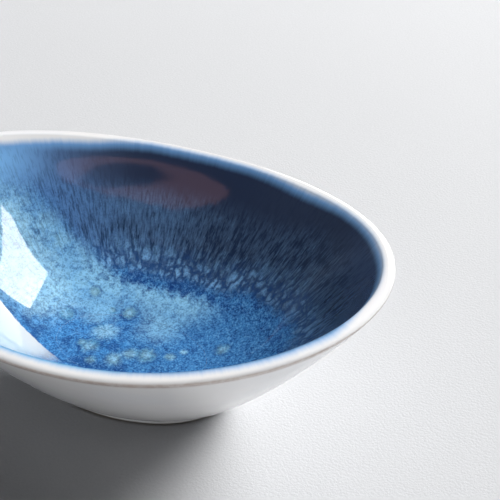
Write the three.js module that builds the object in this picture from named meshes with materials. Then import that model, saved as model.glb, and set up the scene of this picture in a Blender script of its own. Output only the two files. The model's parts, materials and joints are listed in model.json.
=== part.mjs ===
// An oval dip bowl in glazed stoneware: a flared clay body on an oval foot ring, a white
// glaze outside and over the lip, a thin brown line under the lip, and a blue glaze inside
// that gathers as a glassy pool on the floor.
//
// Every horizontal line round the bowl is an oval hoop. A hoop is fixed by two points: where
// it crosses the long section of the bowl and where it crosses the short one. Each layer is
// an outline of hoops joined all the way round. Layers that touch share the same hoops, so
// they lie face to face. Units are millimetres, +Z is up, and the bowl stands on Z = 0.
import * as THREE from "three";

// The outside of the wall.
const rim_half_length = 62.2;
const rim_half_width = 44.6;
const wall_height = 38.4;
const end_rise = 2.7; // the two ends stand this far above the mean height, the sides below it
const rise_power = 1.5; // how late on the way up the wall that rise sets in
const belly_share = 0.24; // 0 is a straight flare, 1 is a fully rounded belly
const belly_power = 1.65;

// The foot ring.
const foot_half_length = 26.3;
const foot_half_width = 17.2;
const foot_height = 2.2;
const foot_draft = 0.8; // how much the foot narrows on its way down, outside and inside
const foot_ring_width = 3.2;
const bare_foot_height = 0.6; // bare clay above the table, below the glaze
const foot_bevel = 0.4;

// The lip and the inside.
const lip_thickness = 3.0;
const lip_outer_roundness = 2.4;
const lip_inner_roundness = 0.9;
const floor_thickness = 4.2; // clay and both glazes, between the foot's recess and the inside
const floor_half_length = 31.0; // how far out the floor pulls the inner curve level
const floor_half_width = 18.0;
const inner_end_straight = 37.0; // how far down the outer wall's slope pulls it, at the ends
const inner_side_straight = 30.0; // and at the sides

// The glazes.
const white_glaze = 0.5;
const blue_glaze = 0.9;
const pool_depth = 1.4;
const rim_line_width = 0.6;

// How finely the surfaces are drawn.
const points_around = 72;
const wall_steps = 8;
const inner_steps = 8;
const pool_steps = 3;
const lip_steps = 5;
const slope_reach = 0.05; // the stretch of a curve that its slope is taken over

const { lerp } = THREE.MathUtils;

// Hoops, and what is done to them in both sections alike.
const hoop = (long, short) => ({ long, short });
const inBothSections = (change) => hoop(change("long"), change("short"));
const levelHoop = (reach, spread, height) =>
  hoop(new THREE.Vector2(reach, height), new THREE.Vector2(spread, height));
const pole = (height) => levelHoop(0, 0, height);
const isPole = (ring) => ring.long.x === 0;
const hoopsAlong = (curve, count) =>
  Array.from({ length: count + 1 }, (_, step) => curve(step / count));

// The flare of the wall: how far out it is at a share of its height.
function flare(share) {
  const belly = (1 - (1 - share) ** belly_power) ** (1 / belly_power);
  return lerp(share, belly, belly_share);
}

// The glazed outside of the wall, from the crease over the foot (0) to the lip (1). The
// square brings the hoops closer together over the foot, where the belly turns.
function outerWall(step) {
  const share = step ** 2;
  const out = flare(share);
  const height = lerp(foot_height, wall_height, share);
  const rise = end_rise * share ** rise_power;
  return hoop(
    new THREE.Vector2(lerp(foot_half_length, rim_half_length, out), height + rise),
    new THREE.Vector2(lerp(foot_half_width, rim_half_width, out), height - rise),
  );
}

// The way a curve of hoops runs at a step, as a unit vector in each section.
function direction(curve, step) {
  const before = curve(Math.max(step - slope_reach, 0));
  const after = curve(Math.min(step + slope_reach, 1));
  return inBothSections((side) => after[side].clone().sub(before[side]).normalize());
}

// The hoop beside a curve, a distance off it to the left of the way it runs.
function beside(curve, step, distance) {
  const here = curve(step);
  if (isPole(here)) return pole(here.long.y + distance);
  const along = direction(curve, step);
  return inBothSections((side) => {
    const left = new THREE.Vector2(-along[side].y, along[side].x);
    return here[side].clone().addScaledVector(left, distance);
  });
}

const slide = (ring, along, distance) =>
  inBothSections((side) => ring[side].clone().addScaledVector(along[side], distance));

// A smooth curve of hoops from the first to the last, pulled by the two between them.
function pulledCurve(...rings) {
  const curve = inBothSections(
    (side) => new THREE.CubicBezierCurve(...rings.map((ring) => ring[side])),
  );
  return (step) => inBothSections((side) => curve[side].getPoint(step));
}

// The lip: the outer and inner wall end side by side and the lip is rounded over them.
const wallRun = direction(outerWall, 1);
const lipOutside = outerWall(1);
const lipInside = beside(outerWall, 1, lip_thickness);
const clayLipOutside = beside(outerWall, 1, white_glaze);

function lipOver(outside, inside, size) {
  return pulledCurve(
    outside,
    slide(outside, wallRun, lip_outer_roundness * size),
    slide(inside, wallRun, lip_inner_roundness * size),
    inside,
  );
}

// The inside surface, from the middle of the floor (0) to the lip (1).
const floorHeight = foot_height + floor_thickness;
const innerWall = pulledCurve(
  pole(floorHeight),
  levelHoop(floor_half_length, floor_half_width, floorHeight),
  hoop(
    slide(lipInside, wallRun, -inner_end_straight).long,
    slide(lipInside, wallRun, -inner_side_straight).short,
  ),
  lipInside,
);

// The blue glaze thins on its way up, to the thickness of the white one at the lip.
const clayInside = (step) => beside(innerWall, step, -lerp(blue_glaze, white_glaze, step));
const clayOutside = (step) => beside(outerWall, step, white_glaze);

// The step at which the inside surface stands a given height over the middle of the floor.
function stepAtDepth(depth) {
  let low = 0;
  let high = 1;
  while (high - low > 1e-9) {
    const middle = (low + high) / 2;
    if (innerWall(middle).long.y - floorHeight < depth) low = middle;
    else high = middle;
  }
  return low;
}

// The foot. The clay of ring and bowl meets on a level plane just over the crease outside.
const jointHeight = foot_height + white_glaze;
const footTop = levelHoop(foot_half_length, foot_half_width, foot_height);
const clayCrease = levelHoop(footTop.long.x - white_glaze, footTop.short.x - white_glaze, jointHeight);
const insideSole = (inset, height) => {
  const narrowing = foot_draft + inset;
  return levelHoop(foot_half_length - narrowing, foot_half_width - narrowing, height);
};
const stopInset = -foot_draft * (bare_foot_height / foot_height);
const glazeStop = insideSole(stopInset, bare_foot_height);
const clayStop = insideSole(stopInset + white_glaze, bare_foot_height);
const soleOutside = insideSole(white_glaze + foot_bevel, 0);
const recessInset = white_glaze + foot_ring_width;
const soleInside = insideSole(recessInset - foot_bevel, 0);
const recessStop = insideSole(recessInset, bare_foot_height);
const recessTop = insideSole(recessInset + foot_draft, jointHeight);

// The hoops that neighbouring layers share.
const outsideSteps = Array.from({ length: wall_steps - 1 }, (_, index) => (index + 1) / wall_steps);
const lineUnder = slide(lipOutside, wallRun, -rim_line_width);
const clayLineUnder = slide(clayLipOutside, wallRun, -rim_line_width);
const glazedWall = [...outsideSteps.map(outerWall), lineUnder];
const clayWall = [...outsideSteps.map(clayOutside), clayLineUnder];

const poolEdge = stepAtDepth(pool_depth);
const floorHoops = (curve) => hoopsAlong((step) => curve(step * poolEdge), pool_steps);
const sideHoops = (curve) => hoopsAlong((step) => curve(lerp(poolEdge, 1, step)), inner_steps);
const glazedFloor = floorHoops(innerWall);
const glazedInside = [...glazedFloor, ...sideHoops(innerWall).slice(1, -1), lipInside];
const clayInner = [...floorHoops(clayInside), ...sideHoops(clayInside).slice(1)];
const clayLipInside = clayInner.at(-1);

const claySize = 1 - (2 * white_glaze) / lip_thickness;
const glazedLip = hoopsAlong(lipOver(lipOutside, lipInside, 1), lip_steps).slice(1, -1);
const clayLip = hoopsAlong(lipOver(clayLipOutside, clayLipInside, claySize), lip_steps).slice(1, -1);

// Joins an outline of hoops into one closed mesh. The outline goes round its section with
// the material on its left, and starts and ends on the axis where the piece reaches it.
function layer(name, color, roughness, outline) {
  const positions = [];
  const indices = [];
  const firstPoints = outline.map((ring) => addHoop(positions, ring));
  outline.forEach((ring, place) => {
    const nextPlace = (place + 1) % outline.length;
    const strip = [
      { ring, first: firstPoints[place] },
      { ring: outline[nextPlace], first: firstPoints[nextPlace] },
    ];
    for (let step = 0; step < points_around; step += 1) {
      indices.push(...stripFaces(...strip, step));
    }
  });
  const geometry = new THREE.BufferGeometry();
  geometry.setAttribute("position", new THREE.Float32BufferAttribute(positions, 3));
  geometry.setIndex(indices);
  geometry.computeVertexNormals();
  const material = new THREE.MeshStandardMaterial({ color, roughness, metalness: 0 });
  const mesh = new THREE.Mesh(geometry, material);
  mesh.name = name;
  return mesh;
}

function addHoop(positions, ring) {
  const first = positions.length / 3;
  const count = isPole(ring) ? 1 : points_around;
  for (let step = 0; step < count; step += 1) {
    const angle = (step / points_around) * 2 * Math.PI;
    const along = Math.cos(angle);
    const across = Math.sin(angle);
    const height = ring.long.y * along ** 2 + ring.short.y * across ** 2;
    positions.push(ring.long.x * along, ring.short.x * across, height);
  }
  return first;
}

// The faces of one step round the strip between two hoops. The diagonal always leaves the
// narrower hoop, so that two layers split the strip that they share in the same way.
function stripFaces(from, to, step) {
  const corner = ({ ring, first }, offset) =>
    isPole(ring) ? first : first + ((step + offset) % points_around);
  const near = [corner(from, 0), corner(from, 1)];
  const far = [corner(to, 0), corner(to, 1)];
  if (isPole(from.ring) && isPole(to.ring)) return [];
  if (isPole(from.ring)) return [near[0], far[1], far[0]];
  if (isPole(to.ring)) return [near[0], near[1], far[0]];
  return isNarrower(from.ring, to.ring)
    ? [near[0], near[1], far[1], near[0], far[1], far[0]]
    : [near[0], near[1], far[0], near[1], far[1], far[0]];
}

function isNarrower(one, other) {
  if (one.long.x !== other.long.x) return one.long.x < other.long.x;
  return one.long.y < other.long.y;
}

const backwards = (rings) => [...rings].reverse();

function clayBody() {
  return layer("clay_body", 0xb9a68c, 0.85, [
    pole(jointHeight),
    recessTop,
    clayCrease,
    ...clayWall,
    clayLipOutside,
    ...clayLip,
    ...backwards(clayInner),
  ]);
}

function footRing() {
  return layer("foot_ring", 0xc4b295, 0.85, [
    soleInside,
    soleOutside,
    clayStop,
    clayCrease,
    recessTop,
    recessStop,
  ]);
}

function outerGlaze() {
  return layer("outer_glaze", 0xdcdcdd, 0.16, [
    clayStop,
    glazeStop,
    footTop,
    ...glazedWall,
    ...backwards(clayWall),
    clayCrease,
  ]);
}

function rimLine() {
  return layer("rim_line", 0x9b7256, 0.35, [lineUnder, lipOutside, clayLipOutside, clayLineUnder]);
}

function lipGlaze() {
  return layer("lip_glaze", 0xe9e6e4, 0.14, [
    lipOutside,
    ...glazedLip,
    lipInside,
    clayLipInside,
    ...backwards(clayLip),
    clayLipOutside,
  ]);
}

function innerGlaze() {
  return layer("inner_glaze", 0x24416b, 0.1, [...clayInner, ...backwards(glazedInside)]);
}

// The pool lies in the dish of the inner glaze, and its top is level.
function glazePool() {
  const edge = glazedFloor.at(-1);
  const levelTop = pole((edge.long.y + edge.short.y) / 2);
  return layer("glaze_pool", 0x3c7fb8, 0.06, [...glazedFloor, levelTop]);
}

function recessGlaze() {
  return layer("recess_glaze", 0xd8d8d8, 0.2, [
    pole(foot_height),
    insideSole(recessInset + foot_draft + white_glaze, foot_height),
    insideSole(recessInset + white_glaze, bare_foot_height),
    recessStop,
    recessTop,
    pole(jointHeight),
  ]);
}

const bowl = new THREE.Group();
bowl.add(
  clayBody(),
  footRing(),
  outerGlaze(),
  rimLine(),
  lipGlaze(),
  innerGlaze(),
  glazePool(),
  recessGlaze(),
);

export default bowl;
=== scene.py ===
# %% [markdown]
# A small oval dip bowl, glazed white outside and blue inside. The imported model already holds
# the bowl's real size and its eight lots of clay and glaze, so it is loaded first, as a fixed
# frame. Everything made below has to lie where the frame says, in metres.
# %% The frame
import json
import math

import bmesh
import bpy
from mathutils import Matrix, Vector

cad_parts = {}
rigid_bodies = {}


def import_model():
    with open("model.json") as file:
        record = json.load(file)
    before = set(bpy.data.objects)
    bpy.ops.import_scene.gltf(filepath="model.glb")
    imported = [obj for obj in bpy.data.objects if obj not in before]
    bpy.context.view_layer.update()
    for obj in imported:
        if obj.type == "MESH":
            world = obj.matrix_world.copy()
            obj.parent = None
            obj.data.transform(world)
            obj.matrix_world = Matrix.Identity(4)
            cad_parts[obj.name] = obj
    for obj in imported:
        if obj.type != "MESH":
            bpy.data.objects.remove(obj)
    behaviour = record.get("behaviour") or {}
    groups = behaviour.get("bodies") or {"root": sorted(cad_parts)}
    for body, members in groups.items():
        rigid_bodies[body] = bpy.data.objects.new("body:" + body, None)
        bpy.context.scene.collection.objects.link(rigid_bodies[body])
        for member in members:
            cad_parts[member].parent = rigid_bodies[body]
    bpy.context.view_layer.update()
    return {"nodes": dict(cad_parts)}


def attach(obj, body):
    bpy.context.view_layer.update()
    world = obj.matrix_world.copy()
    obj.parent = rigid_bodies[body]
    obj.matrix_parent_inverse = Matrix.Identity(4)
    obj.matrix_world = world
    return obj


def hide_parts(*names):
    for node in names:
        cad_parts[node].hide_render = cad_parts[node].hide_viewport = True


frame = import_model()
MM = 0.001
print("nodes in the frame:", ", ".join(sorted(frame["nodes"])))

# %% [markdown]
# The camera comes first, because every later choice is judged through it. A long lens stands
# about 36 cm off and looks down on one corner of the bowl. Its turn, its height and the spot
# that it looks at were found by laying the rim, the wall and the foot over the photograph.
# %% The camera
camera_azimuth = math.radians(24.2)
camera_elevation = math.radians(35.5)
camera_distance = 360.6 * MM
aim_right = 28.28 * MM
aim_up = 29.69 * MM
lens_length = 108

to_right = Vector((math.cos(camera_azimuth), math.sin(camera_azimuth), 0))
to_camera = Vector((
    math.sin(camera_azimuth) * math.cos(camera_elevation),
    -math.cos(camera_azimuth) * math.cos(camera_elevation),
    math.sin(camera_elevation),
))
to_top = to_camera.cross(to_right)
camera_place = to_right * aim_right + to_top * aim_up + to_camera * camera_distance
camera = bpy.data.objects.new("camera", bpy.data.cameras.new("camera"))
camera.data.lens = lens_length
camera.data.clip_start = 10 * MM
camera.matrix_world = (
    Matrix.Translation(camera_place) @ Matrix((to_right, to_top, to_camera)).transposed().to_4x4()
)
bpy.context.scene.collection.objects.link(camera)
bpy.context.scene.camera = camera
bpy.context.scene.view_settings.view_transform = "Standard"
print("camera stands", round(camera_place.length / MM), "mm from the middle of the foot")

# %% [markdown]
# Every level line round the bowl is an oval hoop, fixed by two points: where it crosses the
# long section and where it crosses the short one. The real bowl is pressed in a mould, so its
# shape follows a rule, and it is cheaper to write down that rule than to model by hand. These
# sizes are the bowl's own, in millimetres.
# %% The bowl's sizes
rim_half_length = 62.2
rim_half_width = 44.6
wall_height = 38.4
end_rise = 2.7
rise_power = 1.5
belly_share = 0.24
belly_power = 1.65
foot_half_length = 26.3
foot_half_width = 17.2
foot_height = 2.2
foot_draft = 0.8
foot_ring_width = 3.2
bare_foot_height = 0.6
foot_bevel = 0.4
lip_thickness = 3.0
lip_outer_roundness = 2.4
lip_inner_roundness = 0.9
floor_thickness = 4.2
floor_half_length = 31.0
floor_half_width = 18.0
inner_end_straight = 37.0
inner_side_straight = 30.0
white_glaze = 0.5
blue_glaze = 0.9
pool_depth = 1.4
rim_line_width = 0.6
slope_reach = 0.05

# %% [markdown]
# A hoop is kept as a pair of points, long and short, each with its reach and its height. A few
# helpers are enough: a level hoop, a pole in the middle, a slide along a direction, a step beside
# a curve, and a curve that is pulled by two hoops between its ends, as a Bezier curve is.
# %% Hoops
def lerp(first, last, share):
    return first + (last - first) * share


def level_hoop(reach, spread, height):
    return Vector((reach, height)), Vector((spread, height))


def pole(height):
    return level_hoop(0, 0, height)


def slide(hoop, along, distance):
    return tuple(point + way * distance for point, way in zip(hoop, along))


def direction(curve, step):
    before, after = curve(max(step - slope_reach, 0)), curve(min(step + slope_reach, 1))
    return tuple((b - a).normalized() for a, b in zip(before, after))


def beside(curve, step, distance):
    here = curve(step)
    if here[0].x == 0:
        return pole(here[0].y + distance)
    left = tuple(Vector((-way.y, way.x)) for way in direction(curve, step))
    return slide(here, left, distance)


def pulled_curve(*hoops):
    def at(step):
        rest = 1 - step
        pulls = (rest**3, 3 * rest**2 * step, 3 * rest * step**2, step**3)
        return tuple(
            sum((hoop[side] * pull for hoop, pull in zip(hoops, pulls)), Vector((0, 0)))
            for side in (0, 1)
        )

    return at


# %% [markdown]
# The outside of the wall is a flare with a slight belly, and its two ends rise above its sides.
# It could be sculpted, but a mix of a straight flare and a rounded one needs only two numbers,
# and it can't get lumps. The step goes from 0 at the foot to 1 at the lip.
# %% The outside of the wall
def outer_wall(step):
    share = step**2
    belly = (1 - (1 - share) ** belly_power) ** (1 / belly_power)
    out = lerp(share, belly, belly_share)
    height = lerp(foot_height, wall_height, share)
    rise = end_rise * share**rise_power
    return (
        Vector((lerp(foot_half_length, rim_half_length, out), height + rise)),
        Vector((lerp(foot_half_width, rim_half_width, out), height - rise)),
    )


print("lip above the table, at an end and at a side:", [round(p.y, 1) for p in outer_wall(1)])

# %% [markdown]
# The inside runs from the middle of a flat floor up to the lip, where it is as steep as the
# outside. The clay lies under the glaze on both sides of it, and the lip is rounded over the top.
# %% The inside, the lip and the clay
wall_run = direction(outer_wall, 1)
lip_outside = outer_wall(1)
lip_inside = beside(outer_wall, 1, lip_thickness)
clay_lip_outside = beside(outer_wall, 1, white_glaze)
floor_height = foot_height + floor_thickness
inner_wall = pulled_curve(
    pole(floor_height),
    level_hoop(floor_half_length, floor_half_width, floor_height),
    (
        slide(lip_inside, wall_run, -inner_end_straight)[0],
        slide(lip_inside, wall_run, -inner_side_straight)[1],
    ),
    lip_inside,
)


def lip_over(outside, inside, size):
    return pulled_curve(
        outside,
        slide(outside, wall_run, lip_outer_roundness * size),
        slide(inside, wall_run, lip_inner_roundness * size),
        inside,
    )


def clay_inside(step):
    return beside(inner_wall, step, -lerp(blue_glaze, white_glaze, step))


def clay_outside(step):
    return beside(outer_wall, step, white_glaze)


# %% [markdown]
# The pool of glass ends where the inside has climbed to the pool's depth. No short formula gives
# that step of the curve, so it is found by halving.
# %% The edge of the pool
def step_at_depth(depth):
    low, high = 0.0, 1.0
    while high - low > 1e-9:
        middle = (low + high) / 2
        if inner_wall(middle)[0].y - floor_height < depth:
            low = middle
        else:
            high = middle
    return low


pool_edge = step_at_depth(pool_depth)
print("pool reaches", [round(point.x, 1) for point in inner_wall(pool_edge)], "mm from the middle")

# %% [markdown]
# The real surfaces are smooth, so the hoops are drawn much closer together here than in the
# solid model. Layers that touch share their hoops, so they lie face to face.
# %% Hoops that neighbours share
points_around = 288
wall_steps = 44
lip_steps = 20
side_steps = 84
pool_steps = 30


def shares(count):
    return [place / count for place in range(count + 1)]


joint_height = foot_height + white_glaze
foot_top = level_hoop(foot_half_length, foot_half_width, foot_height)
clay_crease = level_hoop(
    foot_half_length - white_glaze, foot_half_width - white_glaze, joint_height
)


def inside_sole(inset, height):
    narrowing = foot_draft + inset
    return level_hoop(foot_half_length - narrowing, foot_half_width - narrowing, height)


stop_inset = -foot_draft * (bare_foot_height / foot_height)
glaze_stop = inside_sole(stop_inset, bare_foot_height)
clay_stop = inside_sole(stop_inset + white_glaze, bare_foot_height)
sole_outside = inside_sole(white_glaze + foot_bevel, 0)
recess_inset = white_glaze + foot_ring_width
sole_inside = inside_sole(recess_inset - foot_bevel, 0)
recess_stop = inside_sole(recess_inset, bare_foot_height)
recess_top = inside_sole(recess_inset + foot_draft, joint_height)

line_under = slide(lip_outside, wall_run, -rim_line_width)
clay_line_under = slide(clay_lip_outside, wall_run, -rim_line_width)
glazed_wall = [outer_wall(step) for step in shares(wall_steps)[1:-1]] + [line_under]
clay_wall = [clay_outside(step) for step in shares(wall_steps)[1:-1]] + [clay_line_under]

floor_shares = [step * pool_edge for step in shares(pool_steps)]
side_shares = [lerp(pool_edge, 1, step) for step in shares(side_steps)][1:]
glazed_floor = [inner_wall(step) for step in floor_shares]
glazed_side = [inner_wall(step) for step in side_shares]
clay_inner = [clay_inside(step) for step in floor_shares + side_shares]
clay_lip_inside = clay_inner[-1]
clay_size = 1 - 2 * white_glaze / lip_thickness
clay_lip = [
    lip_over(clay_lip_outside, clay_lip_inside, clay_size)(step) for step in shares(lip_steps)
][1:-1]
print("hoops on the inside:", len(floor_shares) + len(side_shares))

# %% [markdown]
# The pool of glass on the floor is level in the middle and climbs a little where it meets the
# wall, as any liquid does before it sets. Its top is one more pulled curve, from a level middle
# to the slope of the wall at its edge.
# %% The top of the pool
meniscus_start = 0.62
meniscus_pull = 2.6
meniscus_height = 0.15

pool_rim = inner_wall(pool_edge)
pool_level = (pool_rim[0].y + pool_rim[1].y) / 2 - meniscus_height
pool_slope = direction(inner_wall, pool_edge)
pool_top = pulled_curve(
    pole(pool_level),
    level_hoop(pool_rim[0].x * meniscus_start, pool_rim[1].x * meniscus_start, pool_level),
    slide(pool_rim, pool_slope, -meniscus_pull),
    pool_rim,
)
pool_surface = [pool_top(step) for step in shares(pool_steps)]
print("pool is", round(pool_level - floor_height, 2), "mm deep")

# %% [markdown]
# All node trees are built by the script, so every number in them can be read here. A few helpers
# do the typing: put adds a node, fill gives one input its value or its link, calc and
# vector_calc are the two maths nodes, split takes a vector apart, and new_sockets names what
# goes into a tree and what comes out.
# %% Helpers for node trees
def put(tree, kind, sockets=None, **settings):
    """Adds a node, sets its options, and fills its inputs with values or links."""
    node = tree.nodes.new(kind)
    for name, value in settings.items():
        setattr(node, name, value)
    for key, value in (sockets or {}).items():
        fill(tree, node.inputs[key], value)
    return node


def fill(tree, socket, value):
    if isinstance(value, bpy.types.NodeSocket):
        tree.links.new(value, socket)
    else:
        socket.default_value = value


def calc(tree, operation, *values, clamp=False):
    node = put(tree, "ShaderNodeMath", dict(enumerate(values)), operation=operation)
    node.use_clamp = clamp
    return node.outputs[0]


def vector_calc(tree, operation, *values):
    node = put(tree, "ShaderNodeVectorMath", operation=operation)
    for place, value in enumerate(values):
        key = "Scale" if operation == "SCALE" and place == 1 else place
        fill(tree, node.inputs[key], value)
    return node.outputs[1 if operation == "LENGTH" else 0]


def split(tree, vector):
    return put(tree, "ShaderNodeSeparateXYZ", {0: vector}).outputs


def new_sockets(tree, side, *sockets):
    for name, kind, *value in sockets:
        socket = tree.interface.new_socket(name, in_out=side, socket_type="NodeSocket" + kind)
        if value:
            socket.default_value = value[0]


# %% [markdown]
# A loft is a job for Geometry Nodes: one tree turns any outline of hoops into a closed oval
# layer. The outline is a mesh of single points. A point stands at its hoop's crossing with the
# long section and carries three attributes: the crossing with the short section, the run (the
# way along the section from the crest of the lip, in mm) and the level (0 in the middle of the
# floor, 1 at the lip). The tree starts with a grid that has a row for each point of the outline
# and a column for each step round the bowl.
# %% The loft tree
loft = bpy.data.node_groups.new("oval_loft", "GeometryNodeTree")
new_sockets(
    loft,
    "INPUT",
    ("Outline", "Geometry"),
    ("Points Around", "Int", points_around),
    ("Unevenness", "Float", 0.05 * MM),
    ("Unevenness Size", "Float", 40 * MM),
    ("Even Below", "Float", 4 * MM),
    ("Crease Angle", "Float", math.radians(32)),
    ("Weld Distance", "Float", 0.002 * MM),
    ("Finish", "Material"),
)
new_sockets(loft, "OUTPUT", ("Layer", "Geometry"))
given = put(loft, "NodeGroupInput").outputs
outline_points = put(
    loft, "GeometryNodeAttributeDomainSize", {"Geometry": given["Outline"]}, component="MESH"
).outputs["Point Count"]
grid = put(
    loft,
    "GeometryNodeMeshGrid",
    {
        "Vertices X": calc(loft, "ADD", given["Points Around"], 1),
        "Vertices Y": outline_points,
    },
)
print("the loft tree asks for", [socket.name for socket in given if socket.name])

# %% [markdown]
# From its number, each grid point works out its place on the outline and its turn round the
# bowl. It looks up its hoop there and moves to where the hoop is at that angle. Between the two
# sections the height goes with the squares of cosine and sine, so a hoop whose crossings differ
# in height is a smooth saddle.
# %% From the grid to hoops
index = put(loft, "GeometryNodeInputIndex").outputs[0]
place = calc(loft, "MODULO", index, outline_points)
turn = calc(loft, "FLOOR", calc(loft, "DIVIDE", index, outline_points))
angle = calc(loft, "MULTIPLY", calc(loft, "DIVIDE", turn, given["Points Around"]), math.tau)


def from_outline(kind, value):
    """What the hoop of this grid point carries."""
    node = put(loft, "GeometryNodeSampleIndex", data_type=kind, domain="POINT")
    loft.links.new(given["Outline"], node.inputs["Geometry"])
    loft.links.new(value, node.inputs["Value"])
    loft.links.new(place, node.inputs["Index"])
    return node.outputs["Value"]


def named(kind, name):
    return put(
        loft, "GeometryNodeInputNamedAttribute", {"Name": name}, data_type=kind
    ).outputs["Attribute"]


position = put(loft, "GeometryNodeInputPosition").outputs[0]
long_point = split(loft, from_outline("FLOAT_VECTOR", position))
short_section = named("FLOAT_VECTOR", "short_section")
short_point = split(loft, from_outline("FLOAT_VECTOR", short_section))
cosine = calc(loft, "COSINE", angle)
sine = calc(loft, "SINE", angle)
hoop_place = put(
    loft,
    "ShaderNodeCombineXYZ",
    {
        "X": calc(loft, "MULTIPLY", long_point["X"], cosine),
        "Y": calc(loft, "MULTIPLY", short_point["Y"], sine),
        "Z": calc(
            loft,
            "ADD",
            calc(loft, "MULTIPLY", long_point["Z"], calc(loft, "MULTIPLY", cosine, cosine)),
            calc(loft, "MULTIPLY", short_point["Z"], calc(loft, "MULTIPLY", sine, sine)),
        ),
    },
).outputs[0]
print("hoops on the grid:", len(loft.nodes), "nodes so far")

# %% [markdown]
# Pressed and trimmed clay is never quite even, and the lip of a bowl shows it first. The same
# slow noise moves all layers by up to a fifth of a millimetre, so they still fit each other. It
# fades out towards the foot, which stays flat on the table.
# %% The hand of the maker
wander = put(
    loft,
    "ShaderNodeTexNoise",
    {
        "Vector": vector_calc(
            loft, "SCALE", hoop_place, calc(loft, "DIVIDE", 1.0, given["Unevenness Size"])
        ),
        "Scale": 1.0,
        "Detail": 1.0,
    },
    noise_dimensions="3D",
)
height_here = split(loft, hoop_place)["Z"]
loose = put(
    loft,
    "ShaderNodeMapRange",
    {
        "Value": height_here,
        "From Min": given["Even Below"],
        "From Max": calc(loft, "MULTIPLY", given["Even Below"], 5.0),
    },
    interpolation_type="SMOOTHSTEP",
).outputs[0]
strength = calc(loft, "MULTIPLY", calc(loft, "MULTIPLY", loose, given["Unevenness"]), 4.0)
shove = vector_calc(
    loft,
    "SCALE",
    vector_calc(loft, "SUBTRACT", wander.outputs["Color"], (0.5, 0.5, 0.5)),
    strength,
)
bent = put(
    loft,
    "GeometryNodeSetPosition",
    {"Geometry": grid.outputs["Mesh"], "Position": vector_calc(loft, "ADD", hoop_place, shove)},
).outputs[0]
print("with the maker's hand:", len(loft.nodes), "nodes so far")

# %% [markdown]
# The finishes have to know where on the bowl they are, and the noise has moved the points. So the
# run, the level and the turn are stored on the mesh as attributes. Then the seam and the poles
# are welded, the edges of the foot stay sharp while all else is shaded smooth, and the tree ends
# in real geometry with its material.
# %% Marks for the finishes, and the weld
def store(geometry, kind, name, value):
    node = put(loft, "GeometryNodeStoreNamedAttribute", data_type=kind, domain="POINT")
    loft.links.new(geometry, node.inputs["Geometry"])
    node.inputs["Name"].default_value = name
    loft.links.new(value, node.inputs["Value"])
    return node.outputs[0]


bent = store(bent, "FLOAT", "run", from_outline("FLOAT", named("FLOAT", "run")))
bent = store(bent, "FLOAT", "level", from_outline("FLOAT", named("FLOAT", "level")))
around = put(loft, "ShaderNodeCombineXYZ", {"X": cosine, "Y": sine}).outputs[0]
bent = store(bent, "FLOAT_VECTOR", "around", around)

welded = put(
    loft,
    "GeometryNodeMergeByDistance",
    {"Geometry": bent, "Distance": given["Weld Distance"]},
).outputs[0]
smooth = put(
    loft, "GeometryNodeSetShadeSmooth", {"Geometry": welded, "Shade Smooth": True}, domain="FACE"
).outputs[0]
sharp = put(
    loft,
    "FunctionNodeCompare",
    {
        0: put(loft, "GeometryNodeInputMeshEdgeAngle").outputs["Unsigned Angle"],
        1: given["Crease Angle"],
    },
    data_type="FLOAT",
    operation="GREATER_THAN",
).outputs[0]
creased = put(
    loft,
    "GeometryNodeSetShadeSmooth",
    {"Geometry": smooth, "Selection": sharp, "Shade Smooth": False},
    domain="EDGE",
).outputs[0]
real = put(loft, "GeometryNodeRealizeInstances", {"Geometry": creased}).outputs[0]
finished = put(
    loft, "GeometryNodeSetMaterial", {"Geometry": real, "Material": given["Finish"]}
).outputs[0]
loft.links.new(finished, put(loft, "NodeGroupOutput").inputs["Layer"])
print("the loft tree has", len(loft.nodes), "nodes")

# %% [markdown]
# The run is counted along the hoops themselves: the crest of the lip is 0, the way inwards counts
# up and the way outwards counts down.
# %% The run along the bowl
lip_hoops = [lip_over(lip_outside, lip_inside, 1)(step) for step in shares(lip_steps)]
lip_crest = max(range(len(lip_hoops)), key=lambda place: lip_hoops[place][0].y)


def run_along(hoops):
    """The way along a row of hoops, in mm, as the mean of both sections."""
    way = [0.0]
    for before, after in zip(hoops, hoops[1:]):
        way.append(way[-1] + sum((b - a).length for a, b in zip(before, after)) / 2)
    return way


lip_way = run_along(lip_hoops)
lip_run = [way - lip_way[lip_crest] for way in lip_way]
print("way over the lip:", round(lip_way[-1], 1), "mm")

# %% [markdown]
# The outline of a layer is a list of rows, each a hoop with its run and its level. A face that
# no pattern follows has plain rows, with zeros.
# %% Writing an outline
def plain(hoops):
    return [(hoop, 0.0, 0.0) for hoop in hoops]


def outline_mesh(name, rows):
    """Single points, one for each (hoop, run, level) row, as the loft tree wants them."""
    points = bpy.data.meshes.new(name)
    points.from_pydata([(hoop[0].x * MM, 0, hoop[0].y * MM) for hoop, _, _ in rows], [], [])
    points.attributes.new("short_section", "FLOAT_VECTOR", "POINT")
    points.attributes.new("run", "FLOAT", "POINT")
    points.attributes.new("level", "FLOAT", "POINT")
    kept = points.attributes
    for place, (hoop, its_run, its_level) in enumerate(rows):
        kept["short_section"].data[place].vector = (0, hoop[1].x * MM, hoop[1].y * MM)
        kept["run"].data[place].value = its_run
        kept["level"].data[place].value = its_level
    return points


# %% [markdown]
# Each layer is made by the same few steps: let the tree loft its outline, keep the result as a
# plain mesh and turn its faces outwards. The outline and its modifier are thrown away.
# %% Making a layer
def turn_outwards(mesh):
    work = bmesh.new()
    work.from_mesh(mesh)
    bmesh.ops.recalc_face_normals(work, faces=work.faces)
    open_edges = sum(not edge.is_manifold for edge in work.edges)
    if open_edges:
        print("  open edges:", open_edges)
    work.to_mesh(mesh)
    work.free()


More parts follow.
